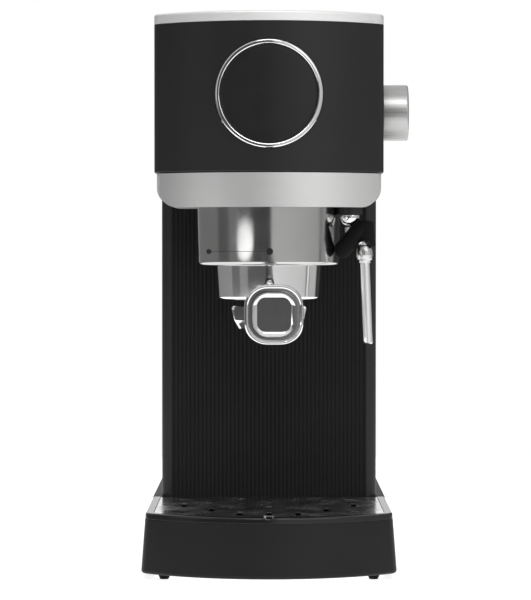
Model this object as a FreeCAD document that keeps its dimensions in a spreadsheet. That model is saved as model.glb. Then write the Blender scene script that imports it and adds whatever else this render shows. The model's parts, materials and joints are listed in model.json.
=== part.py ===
"""Slim pump espresso machine: housing, control ring, brewing group, portafilter, wand, tray and tank.

Frame: millimetres, +Z up, front towards -Y. The origin is on the surface that the feet stand on, in
the machine's centre plane and midway along its base. Every sub-part is one object of this document
and one file in parts/.
"""
import FreeCAD, Part
import math
import os
import re
import Sketcher

Vector = FreeCAD.Vector
UP = Vector(0, 0, 1)

# ---------------------------------------------------------------- driving dimensions

SIZES = {
    # housing
    "height": 315, "body_w": 128, "front": -145, "back": 145, "col_front": -20, "col_back": 70,
    "bow_r": 92, "corner_r": 8, "skin": 1.6, "gap": 0.3,
    "head_low": 226.5, "lid_low": 309.4, "nose_low": 208.6, "nose_half": 62.6, "nose_corner": 10,
    "nose_wall": 2, "band_half": 61, "band_low": 207.4, "band_corner": 10, "band_t": 1.4, "deck_t": 2,
    "rib_half": 57.6, "rib_pitch": 2.4, "rib_count": 48, "rib_w": 1.1, "rib_deep": 0.45, "panel_t": 2.8,
    # base and drip tray
    "base_low": 3.2, "base_top": 37, "base_half": 71.6, "base_lean": 2.5, "base_front": -148,
    "base_bow": 104, "base_wall": 3, "plate_half": 65, "plate_t": 3, "plate_inset": 4.5,
    "foot_r": 3.8, "foot_tip": 2.4, "foot_x": 58.5, "foot_front": -117, "foot_back": 126,
    "tray_back": -21, "tray_rim": 4.5, "tray_wall": 7, "tray_floor": 2.2, "grid_t": 0.8, "grid_drop": 0.2,
    "slot_w": 3.2, "slot_wide": 5, "slot_pitch": 16.25, "lip_drop": 3.6, "lip_line": 0.5,
    # control ring
    "dial_z": 269.4, "dial_r": 29.8, "dial_in": 27.2, "dial_proud": 1.2, "lens_t": 2,
    # brewing group, all heights above the table
    "group_y": -77, "skirt_r": 40.4, "skirt_flare": 0.9, "skirt_low": 175, "skirt_top": 212,
    "sheet": 1, "skirt_in": 37.2,
    "cast_r": 38.8, "cast_in": 36.6, "cast_low": 176.5, "cast_roof": 190, "cast_top": 196,
    "lug_in": 32.4, "lug_t": 2.8, "lug_angle": 50, "ear_angle": 40, "ear_r": 36.2, "ear_t": 4,
    "rim_r": 31.5, "rim_z": 184.6, "bowl_r": 30.4, "bowl_foot": 29, "bowl_low": 155.7, "bowl_wall": 2.2,
    "basket_r": 25.6, "basket_flange": 30.8, "basket_low": 162.5, "basket_t": 0.8,
    "gasket_in": 26.3, "gasket_r": 31, "screen_r": 25.5,
    # portafilter handle, measured along its own axis from the group's axis
    "handle_z": 158.4, "handle_tilt": 2.9, "handle_swing": 0.93, "handle_end": 160, "grip_start": 52,
    "grip_small": 15.6, "grip_waist": 20.5, "grip_large": 29.4, "ring_w": 30.4, "ring_wall": 2.1,
    "ring_deep": 7, "pad_w": 17, "neck_r": 4.5, "stem_end": 144,
    "spout_w": 44, "spout_d": 15, "spout_top": 152, "spout_low": 138.7,
    # steam side
    "knob_y": -70, "knob_z": 262.8, "knob_r": 16, "knob_in": 65, "knob_out": 79.8, "spindle_r": 3,
    "wand_x": 46, "wand_y": -92, "ball_z": 202.8, "ball_r": 5.6, "pipe_r": 2.8, "pipe_x": 54,
    "wand_low": 130, "wand_lean": 2.2, "sleeve_r": 6, "tab_r": 4.9, "tab_tilt": 40,
    # tank
    "tank_half": 61, "tank_front": 72.5, "tank_rear": 143, "tank_low": 37.1, "tank_top": 300,
    "tank_wall": 2, "hinge_y": 139, "hinge_z": 304.2, "hinge_r": 1.5, "valve_y": 108,
    # boiler and pump
    "boiler_r": 36, "boiler_top": 238, "boiler_cap": 250, "pump_x": -18, "pump_y": 28,
}

doc = FreeCAD.newDocument("espresso_machine")
sheet = doc.addObject("Spreadsheet::Sheet", "Dims")
for row, (alias, value) in enumerate(SIZES.items(), 1):
    sheet.set(f"A{row}", alias)
    sheet.set(f"B{row}", str(value))
    sheet.setAlias(f"B{row}", alias)
doc.recompute()

NODES = {}


def formula(text):
    """An expression with each sheet alias spelled out as Dims.alias."""
    return re.sub(r"[a-z_]+", lambda m: "Dims." + m.group() if m.group() in SIZES else m.group(), str(text))


def number(text):
    """The value that the sheet gives to an expression."""
    return float(sheet.evalExpression(formula(text)))


def bind(thing, **properties):
    """Ties properties to expressions of the sheet; a double underscore stands for a dot."""
    for name, text in properties.items():
        thing.setExpression(name.replace("__", "."), formula(text))
    return thing


def place(thing, x=0, y=0, z=0, turn=None):
    """Puts an object at expressions of the sheet, after an optional (axis, degrees) turn."""
    if turn:
        thing.Placement = FreeCAD.Placement(Vector(), FreeCAD.Rotation(Vector(*turn[0]), turn[1]))
    return bind(thing, Placement__Base__x=x, Placement__Base__y=y, Placement__Base__z=z)


def node(label, thing):
    """Registers a finished sub-part under its label."""
    thing.Label = label
    NODES[label] = thing
    return thing


# ---------------------------------------------------------------- primitives and booleans

TURNS = {"+Z": None, "+X": ((0, 1, 0), 90), "+Y": ((1, 0, 0), -90), "-Y": ((1, 0, 0), 90)}


def block(x0, x1, y0, y1, z0, z1):
    """A box between two corners, each coordinate an expression."""
    box = doc.addObject("Part::Box", "block")
    bind(box, Length=f"({x1}) - ({x0})", Width=f"({y1}) - ({y0})", Height=f"({z1}) - ({z0})")
    return place(box, x0, y0, z0)


def rod(x, y, z, radius, length, way="+Z"):
    """A cylinder that starts at a point and runs along a row axis."""
    bar = bind(doc.addObject("Part::Cylinder", "rod"), Radius=radius, Height=length)
    return place(bar, x, y, z, TURNS[way])


def cone(x, y, z, radius, tip, length, way="+Z"):
    """A cone stub that starts at a point and runs along a row axis."""
    stub = bind(doc.addObject("Part::Cone", "cone"), Radius1=radius, Radius2=tip, Height=length)
    return place(stub, x, y, z, TURNS[way])


def fuse(*things):
    """One object made of several."""
    if len(things) == 1:
        return things[0]
    union = doc.addObject("Part::MultiFuse", "fuse")
    union.Shapes = list(things)
    return union


def cut(base, *tools):
    """The base without the tools."""
    result = doc.addObject("Part::Cut", "cut")
    result.Base = base
    result.Tool = fuse(*tools)
    return result


def common(first, second):
    """What two objects share."""
    result = doc.addObject("Part::Common", "common")
    result.Base = first
    result.Tool = second
    return result


def group(*things):
    """Separate solids kept together as one sub-part."""
    result = doc.addObject("Part::Compound", "group")
    result.Links = list(things)
    return result


# ---------------------------------------------------------------- bodies, sketches and features

# How far a sketch's level runs along its plane's normal: the XZ plane's normal is -Y.
LEVEL_SIGN = {"XY": 1, "XZ": -1, "YZ": 1}


def body(name):
    return doc.addObject("PartDesign::Body", name)


def new_sketch(part, plane, level):
    """An empty sketch on one of a body's own origin planes, moved to a level along the row axis."""
    sketch = part.newObject("Sketcher::SketchObject", part.Name + "_sketch")
    origin = [feature for feature in part.Origin.OriginFeatures if feature.Role == plane + "_Plane"][0]
    sketch.AttachmentSupport = [(origin, "")]
    sketch.MapMode = "FlatFace"
    sketch.setExpression("AttachmentOffset.Base.z", formula(f"{LEVEL_SIGN[plane]} * ({level})"))
    return sketch


def tie(sketch, kind, *arguments):
    """Adds a dimension whose last argument is an expression."""
    *places, text = arguments
    index = sketch.addConstraint(Sketcher.Constraint(kind, *places, number(text)))
    sketch.setExpression(f"Constraints[{index}]", formula(text))


def add_outline(sketch, corners, arcs=None):
    """A closed outline through corners; arcs maps an edge to (radius, side), +1 bulging left of its run."""
    arcs = arcs or {}
    points = [Vector(number(x), number(y), 0) for x, y in corners]
    first = sketch.GeometryCount
    edges = range(len(points))
    for i in edges:
        a, b = points[i], points[(i + 1) % len(points)]
        if i in arcs:
            radius, side = number(arcs[i][0]), arcs[i][1]
            half = (b - a).Length / 2
            rise = radius - math.sqrt(max(radius * radius - half * half, 0))
            left = UP.cross(b - a).normalize()
            sketch.addGeometry(Part.Arc(a, (a + b) / 2 + left * rise * side, b))
        else:
            sketch.addGeometry(Part.LineSegment(a, b))

    def end(i, point):
        return 1 if (sketch.getPoint(first + i, 1) - point).Length < 1e-6 else 2

    starts = [end(i, points[i]) for i in edges]
    for i in edges:
        j = (i + 1) % len(points)
        meet = (first + i, 3 - starts[i], first + j, starts[j])
        sketch.addConstraint(Sketcher.Constraint("Coincident", *meet))
    for i, (x, y) in enumerate(corners):
        tie(sketch, "DistanceX", -1, 1, first + i, starts[i], x)
        tie(sketch, "DistanceY", -1, 1, first + i, starts[i], y)
    for i, (radius, _) in arcs.items():
        tie(sketch, "Radius", first + i, radius)
    return sketch


def outline(part, plane, corners, level=0, arcs=None):
    return add_outline(new_sketch(part, plane, level), corners, arcs)


def add_circle(sketch, x, y, radius):
    index = sketch.addGeometry(Part.Circle(Vector(number(x), number(y), 0), UP, number(radius)))
    tie(sketch, "Radius", index, radius)
    tie(sketch, "DistanceX", -1, 1, index, 3, x)
    tie(sketch, "DistanceY", -1, 1, index, 3, y)
    return sketch


def circle(part, plane, x, y, radius, level=0):
    return add_circle(new_sketch(part, plane, level), x, y, radius)


def feature(part, kind, profile, length, back=False, lean=None):
    """A Pad or Pocket of a sketch along the row axis; back turns it the other way."""
    made = part.newObject("PartDesign::" + kind, part.Name + "_" + kind.lower())
    made.Profile = profile
    bind(made, Length=length)
    along_normal = (LEVEL_SIGN[plane_of(profile)] > 0) != back
    made.Reversed = not along_normal if kind == "Pad" else along_normal
    if lean is not None:
        bind(made, TaperAngle=lean)
    return made


def plane_of(sketch):
    return sketch.AttachmentSupport[0][0].Role[:2]


def revolve(part, profile, kind="Revolution"):
    """A Revolution or Groove about the sketch's vertical axis, which is the body's Z axis."""
    made = part.newObject("PartDesign::" + kind, part.Name + "_" + kind.lower())
    made.Profile = profile
    made.ReferenceAxis = (profile, ["V_Axis"])
    made.Angle = 360
    return made


def repeat_round(part, made, count):
    """Repeats a feature round the body's Z axis."""
    pattern = part.newObject("PartDesign::PolarPattern", part.Name + "_polar")
    pattern.Originals = [made]
    axis = [origin for origin in part.Origin.OriginFeatures if origin.Role == "Z_Axis"][0]
    pattern.Axis = (axis, [""])
    pattern.Angle = 360
    pattern.Occurrences = count
    part.Tip = pattern
    return pattern


def repeat_along(part, made, axis_role, length, count):
    """Repeats a feature along one of the body's axes, over a length."""
    pattern = part.newObject("PartDesign::LinearPattern", part.Name + "_linear")
    pattern.Originals = [made]
    axis = [origin for origin in part.Origin.OriginFeatures if origin.Role == axis_role][0]
    pattern.Direction = (axis, [""])
    bind(pattern, Length=length, Occurrences=count)
    part.Tip = pattern
    return pattern


def round_edges(part, radius, chosen):
    """Fillets the edges of the body's tip for which chosen(edge) is true."""
    doc.recompute()
    base = part.Tip
    names = [f"Edge{i}" for i, edge in enumerate(base.Shape.Edges, 1) if chosen(edge)]
    made = part.newObject("PartDesign::Fillet", part.Name + "_fillet")
    made.Base = (base, names)
    bind(made, Radius=radius)
    return made


def upright(edge):
    """Whether an edge runs mostly along Z."""
    a, b = edge.firstVertex().Point, edge.lastVertex().Point
    return abs(b.z - a.z) > 0.9 * (b - a).Length > 1e-6


def level_at(height):
    """A test for the edges that lie at one height."""
    at = number(height)
    return lambda edge: abs(edge.BoundBox.ZMin - at) < 0.02 and abs(edge.BoundBox.ZMax - at) < 0.02


def turned(name, corners, arcs=None, x=0, y=0, z=0, turn=None):
    """A body turned from a closed half section of (radius, height) corners, then placed."""
    part = body(name)
    revolve(part, outline(part, "XZ", corners, arcs=arcs))
    return place(part, x, y, z, turn)


# The radius of each bowed front: the head's and the base's.
BOWS = {"front": "bow_r", "base_front": "base_bow"}


def bow_sketch(part, half, inset, back, level, front="front"):
    """A plan outline with a bowed front: two straight sides, joined at the front by an arc."""
    bow = BOWS[front]
    side = f"{front} + {bow} - sqrt(({bow} - ({inset}))^2 - ({half})^2)"
    corners = [(f"-({half})", back), (f"-({half})", side), (half, side), (half, back)]
    return outline(part, "XY", corners, level, {1: (f"{bow} - ({inset})", -1)})


def bow_block(name, half, inset, back, low, high, front="front", corner=None):
    """A block with the machine's bowed front, and its two front corners rounded."""
    part = body(name)
    feature(part, "Pad", bow_sketch(part, half, inset, back, low, front), f"({high}) - ({low})")
    if corner:
        limit = number(back) - 1
        round_edges(part, corner, lambda edge: upright(edge) and edge.BoundBox.YMax < limit)
    return part


def pipe_path(points, radii):
    """Straight runs joined by tangent arcs, as one wire."""
    edges, start = [], points[0]
    for before, corner, after, radius in zip(points, points[1:], points[2:], radii):
        into, out = (corner - before).normalize(), (after - corner).normalize()
        turn = into.getAngle(out)
        reach = radius * math.tan(turn / 2)
        first, last = corner - into * reach, corner + out * reach
        inward = (out - into).normalize()
        middle = corner + inward * (radius / math.cos(turn / 2) - radius)
        edges += [Part.makeLine(start, first), Part.Arc(first, middle, last).toShape()]
        start = last
    return Part.Wire(edges + [Part.makeLine(start, points[-1])])


def tube_shape(points, radius, bends, bore=0):
    """A round tube along a path of runs and arcs, with a bore if one is given."""
    path = pipe_path(points, bends)
    start, along = points[0], points[1] - points[0]
    solid = path.makePipe(Part.Face(Part.Wire(Part.makeCircle(radius, start, along))))
    if bore:
        solid = solid.cut(path.makePipe(Part.Face(Part.Wire(Part.makeCircle(bore, start, along)))))
    return solid


def shaped(label, shape):
    """A sub-part whose shape comes straight from Part's own functions."""
    thing = doc.addObject("Part::Feature", label)
    thing.Shape = shape
    return node(label, thing)


def hose(label, points, radius, bend, bore):
    """A hose or wire through points, each an (x, y, z) of expressions."""
    spots = [Vector(*(number(value) for value in point)) for point in points]
    return shaped(label, tube_shape(spots, number(radius), [bend] * (len(spots) - 2), bore))


# ---------------------------------------------------------------- base

def base_plate():
    """Steel floor of the base; its front edge is bowed like the tray's front wall, which hides it."""
    plate = bow_block("base_plate_blank", "plate_half", "plate_inset", "back - 3", "base_low",
                      "base_low + plate_t", "base_front")
    round_edges(plate, 5, upright)
    holes = [rod(x, y, 0, 1.8, 10) for x, y in SCREW_SPOTS]
    heads = [rod(x, y, 0, 3.4, "base_low + 1.6") for x, y in SCREW_SPOTS]
    node("base_plate", cut(plate, *holes, *heads))


SCREW_SPOTS = [(x, y) for x in (-54, 54) for y in (-8, 128)]


def housing_screws():
    under = [fuse(rod(x, y, "base_low + 0.1", 3.2, 1.5), rod(x, y, "base_low + 1.5", 1.6, 12))
             for x, y in SCREW_SPOTS]
    behind = [rod(x, "col_back + 0.02", z, 3, 1.6, "+Y") for x in (-48, 48) for z in (60, 200)]
    node("housing_screws", group(*under, *behind))


def rubber_feet():
    spots = [(x, y) for x in ("-foot_x", "foot_x") for y in ("foot_front", "foot_back")]
    node("rubber_feet", group(*[cone(x, y, 0, "foot_tip", "foot_r", "base_low") for x, y in spots]))


def base_housing():
    """Rear half of the base: its sides lean in towards the top, like the tray's."""
    part = body("base_block")
    corners = [("-base_half", "base_low"), ("base_half", "base_low"), ("base_half - base_lean", "base_top"),
               ("-base_half + base_lean", "base_top")]
    feature(part, "Pad", outline(part, "XZ", corners, "col_front"), "back - col_front")
    limit = number("back") - 1
    round_edges(part, 6, lambda edge: upright(edge) and edge.BoundBox.YMin > limit)
    hollow = block("-plate_half + 1", "plate_half - 1", "col_front + base_wall", "back - base_wall",
                   "base_low + 1", "base_top - base_wall")
    seat = block("-plate_half - gap", "plate_half + gap", "col_front - 1", "back - 2.7",
                 "base_low - 2", "base_low + plate_t + 0.05")
    shaft = block(-50, 50, "col_front + 9", "col_back - 8", "base_low + 4", "base_top + 1")
    port = fuse(rod(0, "valve_y", "base_top - 5", 9.1, 8), rod(0, "valve_y", "base_top - 0.75", 11.6, 3))
    gland = rod(40, "back - 5", 20, 6, 10, "+Y")
    shell = cut(part, hollow, seat, shaft, port, gland)
    posts = [cut(rod(x, y, "base_low + plate_t + 0.05", 4.5, "base_top - base_low - plate_t - 2"),
                 rod(x, y, 0, 1.7, 20)) for x, y in SCREW_SPOTS]
    node("base_housing", fuse(shell, *posts))


def cord_gland():
    """Rubber bush in the back of the base: flange outside, bore for the mains lead."""
    section = [(3.6, -6), (5.9, -6), (5.9, 0), (8, 0), (8, 2), (6, 7), (3.6, 7)]
    node("cord_gland", turned("gland", section, x=40, y="back", z=20, turn=TURNS["+Y"]))


def drip_tray():
    part = body("tray_block")
    lean = "-atan(base_lean / (base_top - base_low))"
    plan = bow_sketch(part, "base_half", 0, "tray_back + 4", "base_low", "base_front")
    feature(part, "Pad", plan, "base_top - base_low", lean=lean)
    limit = number("tray_back") - 4
    round_edges(part, "corner_r", lambda edge: upright(edge) and edge.BoundBox.YMax < limit)
    round_edges(part, 1.2, lambda edge: level_at("base_top")(edge) and edge.BoundBox.YMin < limit)
    round_edges(part, 1.6, lambda edge: level_at("base_low")(edge) and edge.BoundBox.YMin < limit)
    top_half = "base_half - base_lean"
    seat = bow_block("tray_seat", f"{top_half} - tray_rim", "base_lean + tray_rim", "tray_back + 1",
                     "base_top - grid_drop - grid_t", "base_top + 2", "base_front", 4)
    floor = "base_low + plate_t + tray_floor"
    bin_space = bow_block("tray_bin", f"{top_half} - tray_wall", "base_lean + tray_wall", "tray_back - 3",
                          floor, "base_top + 2", "base_front", 4)
    tunnel = bow_block("tray_tunnel", "plate_half + 0.5", "plate_inset - 0.6", "tray_back + 1",
                       0, "base_low + plate_t + 0.02", "base_front", 4)
    behind = block("-base_half - 2", "base_half + 2", "tray_back", "tray_back + 6", 0, "base_top + 3")
    node("drip_tray", cut(part, seat, bin_space, tunnel, behind, finger_notch(), lip_groove()))


def lip_groove():
    """The fine line round the tray that sets off its upper lip."""
    low = "base_top - lip_drop"
    inset = "base_lean * (base_top - lip_drop - base_low) / (base_top - base_low) + lip_line"
    around = block("-base_half - 2", "base_half + 2", "base_front - 2", "tray_back + 1",
                   low, f"{low} + lip_line")
    core = bow_block("lip_core", f"base_half - ({inset})", inset, "tray_back + 3", f"{low} - 1",
                     f"{low} + lip_line + 1", "base_front", "corner_r")
    return cut(around, core)


# Drain slots of the grid as (x in pitches, y, width, length), for the right half and the centre line.
GRID_SLOTS = [
    (0, -121, 1, 18), (1, -121, 1, 20), (2, -98, 1, 20), (3, -71, 1, 20), (3, -111, 1, 10), (0, -83, 1, 10),
    (1, -88.7, 15, 1), (2, -65, 9, 1), (1, -65, 5, 1), (2, -48, 1, 9), (0, -48, 15, 1), (1, -36, 1, 9),
    (3, -40, 9, 1),
]


def drip_grid():
    part = bow_block("grid_blank", "base_half - base_lean - tray_rim - 0.3", "base_lean + tray_rim + 0.3",
                     "tray_back - 0.6", "base_top - grid_drop - grid_t", "base_top - grid_drop",
                     "base_front", 3.8)
    slots = []
    for column, y, wide, long in GRID_SLOTS:
        for side in ((1, -1) if column else (1,)):
            x = f"{side * column} * slot_pitch"
            if wide > 1:
                slots.append(slot_tool(x, y, wide, "x"))
            else:
                slots.append(slot_tool(x, y, long, "y"))
    node("drip_grid", cut(part, finger_notch(), *slots))


def finger_notch():
    """The shallow dip at the front of the tray and the grid, for lifting the grid out."""
    return rod(0, "base_front + 2", "base_top + 2.6", 4, 14, "+Y")


def slot_tool(x, y, long, way):
    """A round-ended slot through the grid, centred at a point and running along X or Y."""
    width = "slot_wide" if way == "x" else "slot_w"
    radius, reach = f"{width} / 2", max(long - number(width), 0.2) / 2
    low, deep = "base_top - 3", 5
    if way == "x":
        half_x, half_y, ends = reach, radius, [(f"{x} - {reach}", y), (f"{x} + {reach}", y)]
    else:
        half_x, half_y, ends = radius, reach, [(x, f"{y} - {reach}"), (x, f"{y} + {reach}")]
    bar = block(f"{x} - {half_x}", f"{x} + {half_x}", f"{y} - {half_y}", f"{y} + {half_y}",
                low, f"{low} + {deep}")
    return fuse(bar, *[rod(a, b, low, radius, deep) for a, b in ends])


# ---------------------------------------------------------------- column

def ribbed_panel():
    part = body("ribbed_front_panel")
    half, high = "rib_half", "head_low - 0.1"
    corners = [(f"-{half}", "base_top"), (half, "base_top"), (half, high), (f"-{half}", high)]
    feature(part, "Pad", outline(part, "XZ", corners, "col_front"), "panel_t")
    first = "-rib_pitch * (rib_count - 1) / 2"
    groove = [(f"{first} - rib_w / 2", "col_front - 1"), (f"{first} + rib_w / 2", "col_front - 1"),
              (f"{first} + rib_w / 4", "col_front + rib_deep"),
              (f"{first} - rib_w / 4", "col_front + rib_deep")]
    made = feature(part, "Pocket", outline(part, "XY", groove, "base_top - 1"), "head_low - base_top + 2")
    repeat_along(part, made, "X_Axis", "rib_pitch * (rib_count - 1)", "rib_count")
    node("ribbed_front_panel", part)


def column_side(name, side):
    """A side shell of the column, its front corner rounded; side is 1 on the right and -1 on the left."""
    part = body(name)
    out, thick = "body_w / 2", 2
    corners = [
        ("rib_half + 0.2", "col_front"), (f"{out} - 6", "col_front"), (out, "col_front + 6"),
        (out, "col_back"),
        (f"{out} - {thick}", "col_back"), (f"{out} - {thick}", "col_front + 6"),
        (f"{out} - 6", f"col_front + {thick}"), ("rib_half + 0.2", f"col_front + {thick}")]
    corners = [(f"{side} * ({x})", y) for x, y in corners]
    arcs = {1: (6, -side), 5: (4, side)}
    feature(part, "Pad", outline(part, "XY", corners, "base_top", arcs), "head_low - base_top - 0.05")
    return part


def rear_panel():
    plate = block("-body_w / 2 + 2.2", "body_w / 2 - 2.2", "col_back - 2", "col_back",
                  "base_top", "lid_low - 0.3")
    vents = [block(-30, 30, "col_back - 4", "col_back + 2", 236 + 7 * i, 239 + 7 * i) for i in range(8)]
    node("rear_panel", cut(plate, *vents))


# ---------------------------------------------------------------- head

def head_shell():
    outer = bow_block("shell_outer", "body_w / 2", 0, "col_back", "head_low", "lid_low - 0.2",
                      corner="corner_r")
    limit = number("col_back") - 1
    round_edges(outer, 1.2, lambda edge: level_at("head_low")(edge) and edge.BoundBox.YMin < limit)
    inner = bow_block("shell_inner", "body_w / 2 - skin", "skin", "col_back + 1", "head_low - 1",
                      "lid_low + 1", corner="corner_r - skin")
    dial = rod(0, "front + 20", "dial_z", "dial_r + gap", 40, "-Y")
    spindle = rod("body_w / 2 - 5", "knob_y", "knob_z", "spindle_r + 1", 10, "+X")
    node("head_shell", cut(outer, inner, dial, spindle))


def top_plate():
    """Cup-warming plate: pressed steel with a shallow dished top and slots that let the warmth out."""
    part = bow_block("top_plate_blank", "body_w / 2", 0, "col_back", "lid_low", "height",
                     corner="corner_r")
    limit = number("col_back") - 1
    round_edges(part, 1.4, lambda edge: level_at("height")(edge) and edge.BoundBox.YMin < limit)
    dish = bow_block("dish", "body_w / 2 - 6", 6, "col_back - 6", "height - 1.2", "height + 1",
                     corner=4)
    under = bow_block("under", "body_w / 2 - 3", 3, "col_back - 3", "lid_low - 1", "height - 2.6",
                      corner=5)
    slots = [block(f"{side * 12} - 18", f"{side * 12} + 18", y - 1.4, y + 1.4, "lid_low", "height + 1")
             for y in range(-112, 48, 16) for side in (-2, 2)]
    node("top_plate", cut(part, dish, under, *slots))


def chassis_deck():
    """Deck across the head that carries the boiler, valve and boards."""
    deck = bow_block("deck", "body_w / 2 - skin - gap", "skin + gap", "col_back - 2.3", "head_low",
                     "head_low + deck_t", corner=6)
    holes = [rod(0, "group_y", 200, "boiler_r + 1", 60), rod("wand_x", "wand_y", 200, 4.5, 60),
             block(-45, 8, "col_front + 20", "col_back - 14", 200, 260)]
    node("chassis_deck", cut(deck, *holes))


def rounded_skirt(name, half, low, high, corner, near, far):
    """A block along Y whose two lower corners, seen from the front, are rounded."""
    part = body(name)
    corners = [(f"-({half})", high), (f"-({half})", f"{low} + {corner}"), (f"-({half}) + {corner}", low),
               (f"{half} - {corner}", low), (half, f"{low} + {corner}"), (half, high)]
    arcs = {1: (corner, -1), 3: (corner, -1)}
    feature(part, "Pad", outline(part, "XZ", corners, near, arcs), f"({far}) - ({near})")
    return part


def nose_pan():
    """Underside of the head: a plastic pan with rounded lower corners and the bowed front."""
    top = "head_low - 0.1"
    back = "col_front - 0.3"
    inset = "band_t + 0.3"
    walls = rounded_skirt("nose_section", "nose_half", "nose_low", top, "nose_corner", "front - 5", back)
    plan = bow_block("nose_plan", "nose_half", inset, back, "nose_low - 2", "head_low + 2", corner=7)
    room = rounded_skirt("nose_room", "nose_half - nose_wall", "nose_low + nose_wall", "head_low + 5",
                         "nose_corner - nose_wall", "front - 5", f"{back} - nose_wall")
    room_plan = bow_block("nose_room_plan", "nose_half - nose_wall", f"{inset} + nose_wall",
                          f"{back} - nose_wall", "nose_low", "head_low + 8", corner=5)
    skirt = rod(0, "group_y", 190, "skirt_r + skirt_flare + gap", 60)
    wand = rod("wand_x", "wand_y", 190, 7.3, 60)
    node("nose_pan", cut(common(walls, plan), common(room, room_plan), skirt, wand))


def trim_band():
    """Brushed steel band across the front of the pan."""
    section = rounded_skirt("band_section", "band_half", "band_low", "head_low - 0.2", "band_corner",
                            "front - 5", "front + 40")
    outer = bow_block("band_outer", "body_w / 2", 0.1, "front + 30", "band_low - 2", "head_low + 2")
    inner = bow_block("band_inner", "body_w / 2 + 2", "band_t + 0.1", "front + 50", "band_low - 5",
                      "head_low + 5")
    node("trim_band", common(section, cut(outer, inner)))


# ---------------------------------------------------------------- control ring

def bowed_disc(name, radius, near, far):
    """A disc along Y between two bowed faces, each given as its distance inside the head's own front."""
    outer = bow_block(name + "_outer", "body_w / 2", near, "front + 40", "dial_z - 40", "dial_z + 40")
    inner = bow_block(name + "_inner", "body_w / 2 + 2", far, "front + 60", "dial_z - 50", "dial_z + 50")
    return common(cut(outer, inner), rod(0, "front + 40", "dial_z", radius, 80, "-Y"))


def control_parts():
    disc = bowed_disc("bezel", "dial_r", "-dial_proud", 6)
    node("control_bezel", cut(disc, rod(0, "front + 40", "dial_z", "dial_in", 80, "-Y")))
    node("control_lens", bowed_disc("lens", "dial_in - 0.1", 0.3, "0.3 + lens_t"))
    board = [block(-24, 24, "front + 11", "front + 12.6", "dial_z - 24", "dial_z + 24")]
    pads = [rod(x, "front + 11", f"dial_z + {z}", 5, 2.2, "-Y")
            for x, z in ((-13, -7), (13, -7), (0, 14))]
    node("control_board", fuse(*board, *pads))


# ---------------------------------------------------------------- brewing group

def sector(part, radius_in, radius_out, angle, level):
    """A sketch of a ring sector centred on -Y."""
    half = f"{angle} / 2"
    corners = [(f"({r}) * sin({sign} * {half})", f"-({r}) * cos({half})")
               for r, sign in ((radius_out, -1), (radius_out, 1), (radius_in, 1), (radius_in, -1))]
    return outline(part, "XY", corners, level, {0: (radius_out, -1), 2: (radius_in, 1)})


def group_parts():
    node("group_skirt", turned("skirt", [
        ("skirt_in", "skirt_low"), ("skirt_r - 3", "skirt_low"), ("skirt_r", "skirt_low + 3"),
        ("skirt_r + skirt_flare", "skirt_top"),
        ("boiler_r + 0.05", "skirt_top"), ("boiler_r + 0.05", "skirt_top - sheet"),
        ("skirt_r + skirt_flare - sheet", "skirt_top - sheet"), ("skirt_r - sheet", "skirt_low + 3"),
        ("skirt_r - 3", "skirt_low + sheet"), ("skirt_in", "skirt_low + sheet")], {1: (3, -1), 7: (2, 1)},
        y="group_y"))
    casting = turned("casting", [
        (2, "cast_roof"), ("cast_in", "cast_roof"), ("cast_in", "cast_low"), ("cast_r", "cast_low"),
        ("cast_r", "cast_top"), (2, "cast_top")], y="group_y")
    lug_plan = sector(casting, "lug_in", "cast_in + 1", "lug_angle", "cast_low")
    repeat_round(casting, feature(casting, "Pad", lug_plan, "lug_t"), 3)
    bolts = [(20 * math.cos(a), 20 * math.sin(a)) for a in (math.radians(45 + 90 * i) for i in range(4))]
    holes = [rod(x, f"group_y + {y}", "cast_roof - 1", 2.2, 20) for x, y in bolts]
    node("group_head", cut(casting, *holes))
    node("brew_gasket", turned("gasket", [
        ("gasket_in", "cast_roof - 4.4"), ("gasket_r", "cast_roof - 4.4"), ("gasket_r", "cast_roof"),
        ("gasket_in", "cast_roof")], y="group_y"))
    screen = turned("shower_screen", [
        (2.4, 187), ("screen_r", 187), ("screen_r", "cast_roof - 0.1"),
        ("screen_r - 0.8", "cast_roof - 0.1"), ("screen_r - 0.8", 187.8), (2.4, 187.8)], y="group_y")
    for radius, count in ((21, 30), (16, 24), (11, 18), (6.5, 10)):
        hole = circle(screen, "XY", radius, 0, 0.6, 186)
        repeat_round(screen, feature(screen, "Pocket", hole, 4), count)
    node("shower_screen", screen)
    node("screen_screw", fuse(rod(0, "group_y", 185.7, 5, 1.25), rod(0, "group_y", 186.9, 1.9, 8)))
    low = "cast_roof - 2.1"
    node("group_bolts", group(*[fuse(rod(x, f"group_y + {y}", low, 2.1, 16),
                                     rod(x, f"group_y + {y}", low, 3.4, 2)) for x, y in bolts]))
    return bolts


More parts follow.
